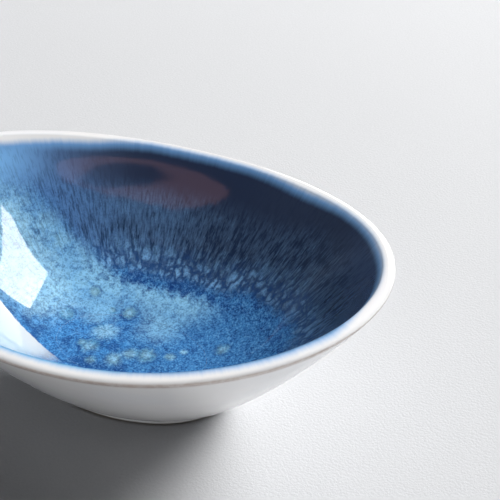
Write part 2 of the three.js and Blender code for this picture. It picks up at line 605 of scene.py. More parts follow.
def layer(name, outline, finish, closed=True):
    """Lofts an outline of (hoop, run, level) rows into one closed piece."""
    rows = outline + outline[:1] if closed else outline
    carrier = bpy.data.objects.new(name + "_outline", outline_mesh(name + "_outline", rows))
    bpy.context.scene.collection.objects.link(carrier)
    modifier = carrier.modifiers.new("loft", "NODES")
    modifier.node_group = loft
    inputs = {
        item.name: item.identifier
        for item in loft.interface.items_tree
        if item.item_type == "SOCKET" and item.in_out == "INPUT"
    }
    modifier[inputs["Finish"]] = finish
    graph = bpy.context.evaluated_depsgraph_get()
    mesh = bpy.data.meshes.new_from_object(carrier.evaluated_get(graph), depsgraph=graph)
    bpy.data.objects.remove(carrier)
    turn_outwards(mesh)
    mesh.name = name
    piece = bpy.data.objects.new(name, mesh)
    bpy.context.scene.collection.objects.link(piece)
    print(name, "has", len(mesh.polygons), "faces")
    return piece


# %% [markdown]
# A finish is built from nodes too, and most of them are sums and steps. These helpers keep the
# recipes short: a smooth step, a mix of two colours, a noise, an attribute that the mesh
# carries, and the place of a spot in millimetres.
# %% Helpers for patterns
def ease(tree, value, start, end, low=0.0, high=1.0):
    """Goes smoothly from low to high while value goes from start to end."""
    sockets = {"Value": value, "From Min": start, "From Max": end, "To Min": low, "To Max": high}
    return put(tree, "ShaderNodeMapRange", sockets, interpolation_type="SMOOTHSTEP").outputs[0]


def blend(tree, share, first, second):
    return put(
        tree, "ShaderNodeMix", {0: share, 6: first, 7: second}, data_type="RGBA"
    ).outputs[2]


def noise(tree, vector, scale, detail=2.0, roughness=0.5, output="Fac"):
    sockets = {"Vector": vector, "Scale": scale, "Detail": detail, "Roughness": roughness}
    return put(tree, "ShaderNodeTexNoise", sockets).outputs[output]


def attribute(tree, name, output="Fac"):
    return put(tree, "ShaderNodeAttribute", attribute_name=name).outputs[output]


def place_in_mm(tree):
    coordinate = put(tree, "ShaderNodeTexCoord").outputs["Object"]
    return vector_calc(tree, "SCALE", coordinate, 1 / MM)


# %% [markdown]
# A material starts with its Principled shader. What several materials share is a node group, so
# that it is changed in one place. The relief of a glaze is far too fine for the mesh, and so a
# bump node turns its height into a normal.
# %% Materials and groups
def new_material(name):
    material = bpy.data.materials.new(name)
    material.use_nodes = True
    tree = material.node_tree
    tree.nodes.clear()
    shader = put(tree, "ShaderNodeBsdfPrincipled")
    put(tree, "ShaderNodeOutputMaterial", {"Surface": shader.outputs[0]})
    return material, tree, shader.inputs


def new_group(name, inputs, outputs):
    group = bpy.data.node_groups.new(name, "ShaderNodeTree")
    new_sockets(group, "INPUT", *inputs)
    new_sockets(group, "OUTPUT", *outputs)
    given = put(group, "NodeGroupInput").outputs
    wanted = put(group, "NodeGroupOutput").inputs
    return group, given, wanted


def use(tree, group, **values):
    """Places a group, with underscores for the spaces in its sockets' names."""
    node = put(tree, "ShaderNodeGroup", node_tree=group)
    for name, value in values.items():
        fill(tree, node.inputs[name.replace("_", " ")], value)
    return node.outputs


def bump(tree, height, depth):
    """Turns a height from 0 to 1 into a normal, for a relief of that depth in mm."""
    sockets = {"Height": height, "Distance": depth * MM, "Strength": 1.0}
    return put(tree, "ShaderNodeBump", sockets).outputs[0]


# %% [markdown]
# Fired glass is smooth but never flat: it has slow waves, a faint orange peel and a few tiny
# pits. All the glazes share this skin, so it is a group of its own. It only gives a height, and
# each material turns that into a normal.
# %% The skin of a glaze
glaze_skin, given, wanted = new_group(
    "glaze_skin",
    (("Wave Size", "Float", 7.0), ("Peel Size", "Float", 0.9), ("Peel Share", "Float", 0.12)),
    (("Height", "Float"), ("Dulling", "Float")),
)
spot = place_in_mm(glaze_skin)
waves = noise(glaze_skin, spot, calc(glaze_skin, "DIVIDE", 1.0, given["Wave Size"]), 1.0)
peel = noise(glaze_skin, spot, calc(glaze_skin, "DIVIDE", 1.0, given["Peel Size"]), 1.0)
height = calc(
    glaze_skin, "ADD", waves, calc(glaze_skin, "MULTIPLY", peel, given["Peel Share"])
)
fill(glaze_skin, wanted["Height"], height)
fill(glaze_skin, wanted["Dulling"], noise(glaze_skin, spot, 0.11, 3.0))
print("the skin has", len(glaze_skin.nodes), "nodes")

# %% [markdown]
# The blue glaze is the heart of this bowl. It runs in the kiln: on the wall it pulls out into
# fine dark threads, lower down the threads join into a net of veins round pale lozenges, under
# that comes a belt of dark specks, then a milky cloud, and the floor is clear azure with a few
# crystals. A painted image could show all this, but it would stretch on the wall and stop at
# one size. So the glaze is one node group that works out its colour from where a spot lies.
# First come its colours, from the lip down.
# %% Colours of the blue glaze
lip_white = (0.84, 0.83, 0.82, 1)
thin_blue = (0.16, 0.35, 0.64, 1)
thin_cyan = (0.15, 0.46, 0.82, 1)
# painted light: a paler thin blue that brightens the shaded inner side of the lip at the right
thin_right_painted_light = (0.22, 0.44, 0.76, 1)
rim_navy = (0.020, 0.031, 0.066, 1)
rim_slate = (0.030, 0.044, 0.083, 1)
rim_side = (0.050, 0.080, 0.155, 1)
rim_blue = (0.12, 0.25, 0.50, 1)
rim_left = (0.20, 0.45, 0.78, 1)
slate_blue = (0.072, 0.145, 0.275, 1)
back_slate = (0.050, 0.085, 0.152, 1)
right_slate = (0.080, 0.165, 0.320, 1)
left_slate = (0.085, 0.20, 0.44, 1)
thread_navy = (0.014, 0.028, 0.066, 1)
lozenge_blue = (0.21, 0.45, 0.76, 1)
vein_navy = (0.022, 0.070, 0.21, 1)
speck_navy = (0.012, 0.052, 0.22, 1)
azure = (0.058, 0.23, 0.52, 1)
left_azure = (0.066, 0.28, 0.64, 1)
milky_cyan = (0.26, 0.56, 0.81, 1)
left_milk = (0.42, 0.76, 0.97, 1)
# painted reflection at the front left: white at its line and paler towards the lip
reflection_white = (0.71, 0.77, 0.81, 1)
pale_reflection = (0.57, 0.71, 0.80, 1)
bloom_pale = (0.32, 0.62, 0.86, 1)
bloom_teal = (0.065, 0.25, 0.44, 1)
bloom_olive = (0.15, 0.28, 0.31, 1)

# %% [markdown]
# The belts of the glaze lie at levels, from 0 in the middle of the floor to 1 at the lip. Each
# edge of a belt is soft, so it is a pair: the level where the belt starts to show and the level
# where it shows in full. They were read off the photograph once the shape was right.
# %% The belts of the wall
long_thread_head = (0.97, 0.85)
wide_thread_head = (0.86, 0.60)
pale_thread_head = (0.72, 0.60)
lozenge_head = (0.72, 0.56)
lozenge_foot = (0.46, 0.52)
speck_head = (0.60, 0.52)
speck_foot = (0.39, 0.46)
floor_head = (0.565, 0.485)
cloud_foot = (0.20, 0.42)
cloud_head = 0.455
print("lozenges lie between the levels", lozenge_foot[0], "and", lozenge_head[0])

# %% [markdown]
# The group is long, so it is built in stages that each read from top to bottom. Helpers that
# already know the group keep the lines short.
# %% The group of the blue glaze
blue_run, given, wanted = new_group(
    "blue_run",
    (("Thread Strength", "Float", 1.0), ("Cloud Strength", "Float", 1.0)),
    (("Color", "Color"), ("Blue", "Float"), ("Matte", "Float")),
)


def blue(operation, *values, clamp=False):
    return calc(blue_run, operation, *values, clamp=clamp)


def blue_ease(*values):
    return ease(blue_run, *values)


def blue_blend(share, first, second):
    return blend(blue_run, share, first, second)


def blue_noise(*values, **settings):
    return noise(blue_run, *values, **settings)


def product(*values):
    total = values[0]
    for value in values[1:]:
        total = blue("MULTIPLY", total, value)
    return total


def print_stage(stage):
    print("blue glaze,", stage + ":", len(blue_run.nodes), "nodes so far")


# %% [markdown]
# A spot knows its place in mm, its run and level along the wall, and the cosine and sine of its
# turn round the bowl: the cosine is 1 at the right end, and the sine is 1 at the back. No belt
# has a straight edge, so a slow and a quick noise push the level about. At the right the belts
# lie a little higher, and most of all at the front right.
# %% Coordinates of the blue glaze
spot = place_in_mm(blue_run)
spot_x, spot_y, _ = split(blue_run, spot)
run = attribute(blue_run, "run")
around = attribute(blue_run, "around", "Vector")
cosine, sine, _ = split(blue_run, around)
leftness = product(cosine, -1.0)
front_right = product(blue_ease(cosine, 0.3, 0.8), blue_ease(sine, 0.1, -0.4))
slow = blue("SUBTRACT", blue_noise(spot, 0.13, 2.0), 0.5)
quick = blue("SUBTRACT", blue_noise(spot, 0.6, 3.0), 0.5)
level = attribute(blue_run, "level")
level = blue("ADD", level, product(slow, 0.08))
level = blue("ADD", level, product(quick, 0.07))
level = blue("SUBTRACT", level, blue_ease(cosine, 0.15, 0.85, 0.0, 0.10))
level = blue("SUBTRACT", level, product(front_right, 0.11))
print_stage("coordinates")

# %% [markdown]
# A grain as fine as sand lies in all of the glass. Two noises of different sizes are added, so
# that it never looks like one pattern, and each part of the wall decides how much of it shows.
# %% Grain
fine_sand = blue_noise(spot, 2.1, 2.0, 0.6)
coarse_sand = blue_noise(spot, 0.95, 3.0, 0.7)
sand = blue("ADD", product(fine_sand, 0.6), product(coarse_sand, 0.4))
dark_sand = blue_ease(sand, 0.46, 0.60)
pale_sand = blue_ease(sand, 0.47, 0.38)
mottle = blue_noise(spot, 0.62, 3.0, 0.65)
dark_mottle = blue_ease(mottle, 0.46, 0.66)
patches = blue_noise(spot, 0.2, 2.0)
print_stage("grain")

# %% [markdown]
# The slate of the wall isn't the same all round: it is darker from the back round to the right,
# and bluer to the left and at the front right. Two steps and a mix for each side are enough.
# %% Slate of the wall
front_right_slate = product(blue_ease(sine, 0.45, -0.3), blue_ease(cosine, 0.0, 0.4))
slate = blue_blend(blue_ease(cosine, -0.25, 0.20), slate_blue, back_slate)
slate = blue_blend(front_right_slate, slate, right_slate)
slate = blue_blend(blue_ease(leftness, 0.25, 0.8), slate, left_slate)
print_stage("slate")

# %% [markdown]
# Threads are thin, short and faint at the top of the wall and grow wider, longer and darker on
# their way down, and to the right some reach up almost to the lip. Each kind is noise on a tall
# cylinder, whose coordinates turn with the bowl, so a thread always points down the wall. The
# first number of a kind says how many grains its radius holds, and the second says how short
# they are.
# %% Threads on the wall
fine_grains, fine_shortness = 95.0, 0.33
wide_grains, wide_shortness = 52.0, 0.19


def on_cylinder(grains, along):
    """Where a spot lies on a cylinder that is grains units in radius."""
    flat = vector_calc(blue_run, "SCALE", around, grains)
    upright = put(blue_run, "ShaderNodeCombineXYZ", {"Z": along}).outputs[0]
    return vector_calc(blue_run, "ADD", flat, upright)


def thread_noise(grains, shortness):
    return blue_noise(on_cylinder(grains, product(run, shortness)), 1.0, 3.0, 0.65)


fine = thread_noise(fine_grains, fine_shortness)
wide = thread_noise(wide_grains, wide_shortness)
fine_threads = product(blue_ease(fine, 0.46, 0.64), blue_ease(cosine, -0.4, 0.3, 0.45, 0.95))
wide_threads = product(blue_ease(wide, 0.49, 0.62), blue_ease(level, *wide_thread_head))
long_threads = product(
    blue_ease(wide, 0.53, 0.60),
    blue_ease(cosine, -0.1, 0.4, 0.0, 0.6),
    blue_ease(level, *long_thread_head),
)
threads = blue("ADD", fine_threads, product(wide_threads, 0.85))
threads = product(blue("ADD", threads, long_threads), given["Thread Strength"])
threads = blue("MINIMUM", threads, 1.0)
pale_fine = blue_ease(fine, 0.46, 0.30)
pale_wide = product(blue_ease(wide, 0.50, 0.36), blue_ease(level, *pale_thread_head))
wall = blue_blend(product(pale_fine, 0.16), slate, lozenge_blue)
wall = blue_blend(product(pale_wide, 0.5), wall, lozenge_blue)
wall = blue_blend(threads, wall, thread_navy)
print_stage("threads")

# %% [markdown]
# Where the threads meet, the glaze has broken into lozenges. A Voronoi texture gives the distance
# to the nearest border between cells, and the borders are the dark veins. The cells are drawn out
# down the wall more and more with height, which a power of the run does, and a noise shakes them
# so that no two are alike.
# %% Lozenges and veins
lozenges_around = 17.0
draw_power, draw_share = 2.6, 0.00034
shake = 1.3

drawn_out = product(blue("POWER", run, draw_power), draw_share)
shaken = vector_calc(
    blue_run, "SUBTRACT", blue_noise(spot, 0.42, 3.0, output="Color"), (0.5, 0.5, 0.5)
)
cell_spot = vector_calc(
    blue_run,
    "ADD",
    on_cylinder(lozenges_around, drawn_out),
    vector_calc(blue_run, "SCALE", shaken, shake),
)
border = put(
    blue_run,
    "ShaderNodeTexVoronoi",
    {"Vector": cell_spot, "Scale": 1.0, "Randomness": 0.8},
    feature="DISTANCE_TO_EDGE",
).outputs["Distance"]
veins = product(blue_ease(border, 0.20, 0.0), blue_ease(mottle, 0.36, 0.62, 0.35, 0.95))
paleness = product(
    blue_ease(border, 0.02, 0.34),
    blue_ease(patches, 0.30, 0.60, 0.45, 1.0),
    blue_ease(cosine, 0.25, 0.8, 1.0, 0.55),
)
lozenge = blue_blend(paleness, slate, lozenge_blue)
lozenge = blue_blend(veins, lozenge, vein_navy)
lozenge = blue_blend(product(wide_threads, 0.40), lozenge, vein_navy)
lozenge = blue_blend(product(dark_sand, 0.30), lozenge, vein_navy)
lozenge_belt = product(blue_ease(level, *lozenge_foot), blue_ease(level, *lozenge_head))
wall = blue_blend(lozenge_belt, wall, lozenge)
print_stage("lozenges")

# %% [markdown]
# The cloud is a pale patch in the glaze. It ends sharply behind the pool and softly up the left
# end of the bowl, so its upper edge rises and widens to the left. It stays on the back side, and
# thins out to the right.
# %% The cloud
cloud_top = blue("ADD", cloud_head, blue_ease(leftness, 0.3, 1.1, 0.0, 0.64))
cloud_softness = blue_ease(leftness, 0.2, 0.95, 0.06, 0.26)
under_cloud_top = blue("DIVIDE", blue("SUBTRACT", cloud_top, level), cloud_softness)
under_cloud_top = blue_ease(under_cloud_top, -0.55, 0.7)
cloud = product(
    under_cloud_top,
    blue_ease(level, *cloud_foot),
    blue_ease(blue("ADD", sine, product(leftness, 0.45)), 0.10, 0.80),
    given["Cloud Strength"],
    blue_ease(patches, 0.28, 0.55, 0.65, 1.0),
    blue_ease(spot_x, 18.0, 7.0),
    blue_ease(mottle, 0.62, 0.44, 0.72, 1.0),
)
milk = blue_blend(blue_ease(leftness, 0.70, 0.95), milky_cyan, left_milk)
print_stage("cloud")

# %% [markdown]
# The floor is azure, with darker patches to the left where the glass is deepest and pale grains
# all over. Specks are the sand with more weight. They are thickest in the belt under the
# lozenges, and thin out over the cloud.
# %% Floor and specks
dark_patch = product(blue_ease(patches, 0.44, 0.60), blue_ease(spot_x, 14.0, 2.0), 0.6)
deep = blue_blend(blue_ease(leftness, 0.2, 0.8), azure, left_azure)
deep = blue_blend(dark_patch, deep, speck_navy)
deep = blue_blend(product(pale_sand, 0.30), deep, milky_cyan)
ground = blue_blend(cloud, deep, milk)
belt = product(
    blue_ease(level, *speck_foot),
    blue_ease(level, *speck_head),
    blue_ease(leftness, 0.75, 0.25, 0.15, 1.0),
)
speckle = blue("ADD", product(dark_sand, 0.62), product(dark_mottle, 0.36))
speck_room = blue("ADD", product(belt, 0.35), blue("SUBTRACT", 0.82, product(cloud, 0.58)))
speckle = blue("MINIMUM", product(speckle, speck_room), 0.92)
print_stage("floor and specks")

# %% [markdown]
# A few crystals have grown in the thick glass on the floor. They could be solid lenses of their
# own, but they lie inside the glass and don't stand up from it, so they are colour. They are
# listed further on, and each piece carries two attributes about them: the distance to the nearest
# one with its kind and its tint, and the way from its middle. A crystal is pale with rays, teal
# and olive clouds and a soft dark hem. The other kind is a mere milky patch.
# %% Crystals
bloom = attribute(blue_run, "bloom", "Vector")
bloom_reach, bloom_kind, bloom_tint = split(blue_run, bloom)
bloom_way = attribute(blue_run, "bloom_way", "Vector")
bloom_reach = blue("ADD", bloom_reach, product(quick, 0.8))
ray_spot = vector_calc(
    blue_run,
    "ADD",
    vector_calc(blue_run, "NORMALIZE", bloom_way),
    vector_calc(blue_run, "SCALE", spot, 0.12),
)
rays = blue_noise(ray_spot, 2.6, 3.0, 0.7)
teal_patch = blue_ease(slow, -0.08, 0.10, -0.3, 0.5)
teal_here = blue("ADD", blue_ease(rays, 0.32, 0.68), teal_patch, clamp=True)
olive_here = blue_ease(blue("ADD", mottle, product(bloom_tint, 0.2)), 0.48, 0.66)
bloom_heart = blue_ease(bloom_reach, 0.60, 0.0, 0.0, 0.7)
bloom_color = blue_blend(teal_here, bloom_pale, bloom_teal)
bloom_color = blue_blend(product(olive_here, 0.75), bloom_color, bloom_olive)
bloom_color = blue_blend(bloom_heart, bloom_color, bloom_pale)
bloom_color = blue_blend(bloom_kind, milky_cyan, bloom_color)

# %% [markdown]
# The crystals go under the specks, and their hems over the azure. Inside a crystal there are
# fewer specks.
# %% Crystals in the floor
crystal_inside = product(blue_ease(bloom_reach, 1.30, 0.30), bloom_kind, 0.85)
patch_kind = blue("SUBTRACT", 1.0, bloom_kind)
patch_inside = product(blue_ease(bloom_reach, 1.60, 0.10), patch_kind, 0.75)
bloom_inside = blue("ADD", crystal_inside, patch_inside)
hem = product(blue_ease(bloom_reach, 0.80, 1.02), blue_ease(bloom_reach, 1.32, 1.06))
hem = product(hem, bloom_kind, blue_ease(slow, -0.04, 0.07, 0.1, 1.0), 0.50)
speckle = product(speckle, blue("SUBTRACT", 1.0, product(bloom_inside, 0.50)))
ground = blue_blend(bloom_inside, ground, bloom_color)
ground = blue_blend(hem, ground, speck_navy)
ground = blue_blend(product(dark_mottle, belt, 0.32), ground, speck_navy)
ground = blue_blend(speckle, ground, speck_navy)
print_stage("crystals")

# %% [markdown]
# Now the wall and the ground are joined. Threads reach over the soft upper edge of the cloud, and
# the sand lies over everything.
# %% Wall and ground together
under_wall = blue("MAXIMUM", blue_ease(level, *floor_head), product(under_cloud_top, 0.92))
over_cloud = product(blue_ease(level, 0.50, 0.72), blue_ease(leftness, 0.0, 0.6), threads)
color = blue_blend(under_wall, wall, ground)
color = blue_blend(product(over_cloud, 0.5), color, thread_navy)
color = blue_blend(product(dark_sand, 0.22), color, thread_navy)
print_stage("wall and ground")

# %% [markdown]
# Near the lip the glaze thins and breaks: from slate through a dark band to bright blue and then
# to the bare white of the glaze below. The break follows the lip at a distance, which the run
# gives, but not evenly: at the back, the right and the front the blue climbs further, at the
# left it stops a millimetre lower, and two noises make it wander and scallop. All these numbers
# are millimetres but the last, which draws the break out at the right end.
# %% Where the glaze breaks
break_inside = 1.4
back_climb = 1.4
front_climb = 2.1
front_right_climb = 0.4
right_climb = 0.9
wander_reach = 0.8
end_widening = 1.15

at_back = blue_ease(sine, 0.85, 0.98)
at_front = blue_ease(sine, -0.05, -0.40)
at_front_right = product(at_front, blue_ease(cosine, 0.35, 0.75))
at_right = product(blue_ease(cosine, 0.3, 0.7), blue_ease(sine, -0.35, 0.0))
at_left = product(blue_ease(leftness, 0.30, 0.80), blue_ease(sine, -0.1, 0.2))
break_at = blue("ADD", break_inside, at_left)
for part, climb in (
    (at_back, back_climb),
    (at_front, front_climb),
    (at_front_right, front_right_climb),
    (at_right, right_climb),
):
    break_at = blue("SUBTRACT", break_at, product(part, climb))
scallop = blue_noise(on_cylinder(45.0, 0.0), 1.0, 4.0, 0.7)
swing = blue_noise(on_cylinder(3.5, 0.0), 1.0, 1.0)
for wander in (scallop, swing):
    centred = blue("SUBTRACT", wander, 0.5)
    break_at = blue("ADD", break_at, product(centred, wander_reach))
inwards = blue("SUBTRACT", run, break_at)
inwards = blue("DIVIDE", inwards, blue_ease(cosine, 0.75, 1.0, 1.0, end_widening))
print_stage("break")

# %% [markdown]
# The dark band is navy at the back and bluer to both ends. Each row below says on which side the
# next colour takes over, and how far round.
# %% The dark band
bands = (
    (blue("ABSOLUTE", cosine), 0.08, 0.6, rim_slate),
    (leftness, 0.28, 0.58, rim_side),
    (cosine, 0.70, 0.97, rim_side),
    (leftness, 0.45, 0.85, rim_blue),
    (leftness, 0.62, 0.90, rim_left),
)
dark_rim = rim_navy
for side, start, full, band_color in bands:
    dark_rim = blue_blend(blue_ease(side, start, full), dark_rim, band_color)
dark_rim = blue_blend(product(threads, 0.5), dark_rim, rim_navy)
below_band = blue("SUBTRACT", inwards, blue_ease(sine, 0.75, 0.97, 0.0, 4.5))
color = blue_blend(blue_ease(below_band, 4.5, 15.0), dark_rim, color)
print_stage("dark band")

# %% [markdown]
# The last few millimetres before the break are thin glass over white, and so they glow: blue in
# most places and cyan at the front. At the right end they are paler, which is painted light: it
# brightens the inner side of the lip there, which faces away from the lamp. At the front left they
# take the pale colour of the painted reflection below.
# %% The thin edge
thin_front = product(at_front, blue_ease(cosine, 0.5, 0.1))
# painted reflection: at the front left the thin edge takes its pale colour
thin_front_left_reflection = product(at_front, blue_ease(leftness, 0.2, 0.45))
thin_color = blue_blend(blue_ease(cosine, 0.35, 0.75), thin_blue, thin_right_painted_light)
thin_color = blue_blend(thin_front, thin_color, thin_cyan)
thin_color = blue_blend(thin_front_left_reflection, thin_color, pale_reflection)
thin_reach = blue_ease(cosine, 0.5, 0.9, 3.8, 3.0)
color = blue_blend(blue_ease(inwards, 0.6, thin_reach), thin_color, color)
print_stage("thin edge")

# %% [markdown]
# At the front left a bright reflection of a window is painted into the colour of the glaze: the
# painted reflection starts white on a straight line across the wall, pales on its way to the lip
# and ends softly towards the middle of the front. The line is written in the bowl's own
# coordinates, as a point on it and a slope.
# %% The painted reflection at the front left
line_x, line_y, line_slope = -34.0, -2.6, -0.407

line_here = blue("ADD", line_y, product(blue("SUBTRACT", spot_x, line_x), line_slope))
past_line = blue("ADD", blue("SUBTRACT", line_here, spot_y), product(quick, 0.8))
reflection_end = blue("ADD", blue("ADD", spot_x, product(past_line, 0.2)), product(slow, 9.0))
painted_reflection = product(blue_ease(past_line, -0.15, 0.25), blue_ease(reflection_end, -9.0, -22.0))
painted_reflection_color = blue_blend(blue_ease(past_line, 1.0, 9.0), reflection_white, pale_reflection)
color = blue_blend(painted_reflection, color, painted_reflection_color)
print_stage("painted reflection")

# %% [markdown]
# The group gives three things: its colour, a mask of where there is blue at all, and a mask for
# the right end, where the glass is a little less glossy.
# %% What the blue glaze gives
blue_here = blue_ease(inwards, -0.6, 1.7)
duller = product(blue_ease(cosine, 0.30, 0.75), blue_ease(level, 0.42, 0.58), blue_here)
fill(blue_run, wanted["Color"], color)
fill(blue_run, wanted["Blue"], blue_here)
fill(blue_run, wanted["Matte"], duller)
print("the blue glaze has", len(blue_run.nodes), "nodes")

# %% [markdown]
# The white glaze is one recipe for the outside, the lip and the recess under the foot: nearly
# even, a little cooler where it is thick, a little warmer where it is thin, with rare specks of
# iron. The brown line is where it broke over the edge under the lip, and it stains its
# neighbours.
# %% The white glaze
white_coat, given, wanted = new_group(
    "white_coat",
    (
        ("Thick", "Color", (0.82, 0.83, 0.855, 1)),
        ("Thin", "Color", (0.85, 0.845, 0.845, 1)),
        ("Stain", "Color", (0.46, 0.34, 0.28, 1)),
        ("Stain Strength", "Float", 0.0),
    ),
    (("Color", "Color"),),
)
spot = place_in_mm(white_coat)
thickness = ease(white_coat, noise(white_coat, spot, 0.05, 3.0), 0.35, 0.65)
color = blend(white_coat, thickness, given["Thick"], given["Thin"])
iron = ease(white_coat, noise(white_coat, spot, 1.3, 1.0), 0.79, 0.83, 0.0, 0.5)
color = blend(white_coat, iron, color, given["Stain"])
breakup = ease(white_coat, noise(white_coat, spot, 0.5, 3.0, 0.6), 0.32, 0.6, 0.65, 1.0)
stain = calc(white_coat, "MULTIPLY", given["Stain Strength"], breakup)
fill(white_coat, wanted["Color"], blend(white_coat, stain, color, given["Stain"]))
print("the white glaze has", len(white_coat.nodes), "nodes")

# %% [markdown]
# Glaze is glass on clay. It could be a clear shell over a painted one, but the Principled shader
# gives the same look with a low roughness and the refraction of glass. The refraction is the
# same all over, so it goes straight on the shader. The roughness varies a little with the skin,
# whose waves are a fiftieth of a millimetre deep.
# %% Glazed materials
glaze_ior = 1.6
skin_depth = 0.02
matte_roughness = 0.16


def glossy(tree, sockets, roughness, matte=None):
    skin_here = use(tree, glaze_skin)
    rough = ease(tree, skin_here["Dulling"], 0.3, 0.7, roughness * 0.8, roughness * 1.3)
    if matte:
        rough = calc(tree, "ADD", rough, calc(tree, "MULTIPLY", matte, matte_roughness))
    fill(tree, sockets["Roughness"], rough)
    fill(tree, sockets["Normal"], bump(tree, skin_here["Height"], skin_depth))
    sockets["IOR"].default_value = glaze_ior


def blue_material(name):
    material, tree, sockets = new_material(name)
    glaze = use(tree, blue_run)
    color = blend(tree, glaze["Blue"], lip_white, glaze["Color"])
    fill(tree, sockets["Base Color"], color)
    glossy(tree, sockets, roughness=0.045, matte=glaze["Matte"])
    return material


def white_material(name, roughness, stain_at=None, core=0.75, tail=0.5):
    material, tree, sockets = new_material(name)
    if stain_at is None:
        coat = use(tree, white_coat)
    else:
        off = calc(tree, "SUBTRACT", attribute(tree, "run"), stain_at)
        near = ease(tree, calc(tree, "ABSOLUTE", off), 0.9, 0.1, 0.0, core)
        below = calc(
            tree, "MULTIPLY", ease(tree, off, -2.6, -0.3, 0.0, tail), ease(tree, off, 0.7, 0.0)
        )
        coat = use(tree, white_coat, Stain_Strength=calc(tree, "MAXIMUM", near, below))
    fill(tree, sockets["Base Color"], coat["Color"])
    glossy(tree, sockets, roughness)
    return material, tree, sockets, coat


# %% [markdown]
# Six finishes come from these recipes. The brown stain is strongest on the line under the lip and
# fades downwards, so the white wall and the lip carry some of it too. The lip also carries the
# blue glaze, which ends on it.
# %% Six glazed finishes
line_run = lip_run[0] - rim_line_width / 2
stain_run = line_run + 0.75
inner_glaze_finish = blue_material("blue_glaze")
pool_finish = blue_material("pool_glass")
outer_finish = white_material("white_glaze", roughness=0.09, stain_at=stain_run)[0]
recess_finish = white_material("recess_white", roughness=0.12)[0]
line_finish = white_material(
    "brown_line", roughness=0.12, stain_at=stain_run, core=0.9, tail=0.8
)[0]
lip_finish, tree, sockets, coat = white_material(
    "lip_white", roughness=0.06, stain_at=stain_run
)
glaze = use(tree, blue_run)
fill(tree, sockets["Base Color"], blend(tree, glaze["Blue"], coat["Color"], glaze["Color"]))
print("the brown line runs", round(-line_run, 1), "mm outside the crest of the lip")

# %% [markdown]
# Bare clay shows only on the sole. It is matt and tan, with coarse grains of grog, and pale dust
# in its pits. The body under the glazes is the same clay, and no more than its outline matters.
# %% Clay
clay_grain, given, wanted = new_group(
    "clay_grain",
    (("Light", "Color", (0.62, 0.52, 0.40, 1)), ("Dark", "Color", (0.34, 0.25, 0.17, 1))),
    (("Color", "Color"), ("Height", "Float")),
)
spot = place_in_mm(clay_grain)
grog = noise(clay_grain, spot, 2.4, 4.0, 0.7)
tint = ease(clay_grain, noise(clay_grain, spot, 0.2, 2.0), 0.3, 0.7, 0.0, 0.35)
pits = ease(clay_grain, grog, 0.42, 0.62)
share = calc(clay_grain, "ADD", tint, calc(clay_grain, "MULTIPLY", pits, 0.5))
fill(clay_grain, wanted["Color"], blend(clay_grain, share, given["Light"], given["Dark"]))
fill(clay_grain, wanted["Height"], grog)


def clay_material(name, **colors):
    material, tree, sockets = new_material(name)
    grain = use(tree, clay_grain, **colors)
    fill(tree, sockets["Base Color"], grain["Color"])
    fill(tree, sockets["Normal"], bump(tree, grain["Height"], 0.06))
    sockets["Roughness"].default_value = 0.9
    return material


foot_finish = clay_material("foot_clay")
body_finish = clay_material("stoneware_clay", Light=(0.66, 0.57, 0.46, 1))
print("clays:", foot_finish.name, "and", body_finish.name)

# %% [markdown]
# Now the eight layers. The rows of an outline go round its section once. Rows for the inside
# carry their run and level, so that the wall, the pool and the lip show one glaze without a seam.
# The underside of a glaze lies on its clay and is never seen, so its rows carry nothing.
# %% Rows of the glazed surfaces
down_hoops = [lip_inside] + glazed_side[-2::-1] + glazed_floor[::-1]
down_runs = [lip_run[-1] + way for way in run_along(down_hoops)]
inside_rows = list(zip(down_hoops, down_runs, side_shares[::-1] + floor_shares[::-1]))
pool_rows = [
    (hoop, row[1], row[2])
    for hoop, row in zip(pool_surface, inside_rows[-1 : -len(pool_surface) - 1 : -1])
]
lip_rows = [(hoop, way, 1.0) for hoop, way in zip(lip_hoops, lip_run)]
outside_hoops = [lip_outside] + glazed_wall[::-1] + [foot_top, glaze_stop]
outside_rows = [
    (hoop, lip_run[0] - way, 0.0) for hoop, way in zip(outside_hoops, run_along(outside_hoops))
]
print("way from the lip's crest to the middle of the floor:", round(down_runs[-1], 1), "mm")

# %% [markdown]
# The clay comes first: the bowl itself, and the oval foot that a potter presses on under it. Only
# the sole of the foot stays bare. Boolean cuts could carve both, but they leave ragged faces. An
# outline of shared hoops makes clay and glaze meet exactly.
# %% Clay body and foot
clay_body = layer(
    "clay_body_fired",
    plain([pole(joint_height), recess_top, clay_crease, *clay_wall, clay_lip_outside, *clay_lip])
    + plain(clay_inner[::-1]),
    body_finish,
    closed=False,
)
foot_ring = layer(
    "foot_ring_fired",
    plain([sole_inside, sole_outside, clay_stop, clay_crease, recess_top, recess_stop]),
    foot_finish,
)

# %% [markdown]
# The white glaze covers the outside down to just above the sole. The brown line is the last bit
# of the wall under the lip, and the lip has a coat of its own that rounds it over the top. A
# Solidify modifier on the clay would be quicker, but it couldn't stop each coat at its own line.
# %% White glaze, brown line and lip
outer_glaze = layer(
    "outer_glaze_fired",
    outside_rows[:0:-1] + plain(clay_wall[::-1] + [clay_crease, clay_stop]),
    outer_finish,
)
rim_line = layer(
    "rim_line_fired",
    [outside_rows[1], outside_rows[0], *plain([clay_lip_outside, clay_line_under])],
    line_finish,
)
lip_glaze = layer(
    "lip_glaze_fired",
    lip_rows + plain([clay_lip_inside] + clay_lip[::-1] + [clay_lip_outside]),
    lip_finish,
)

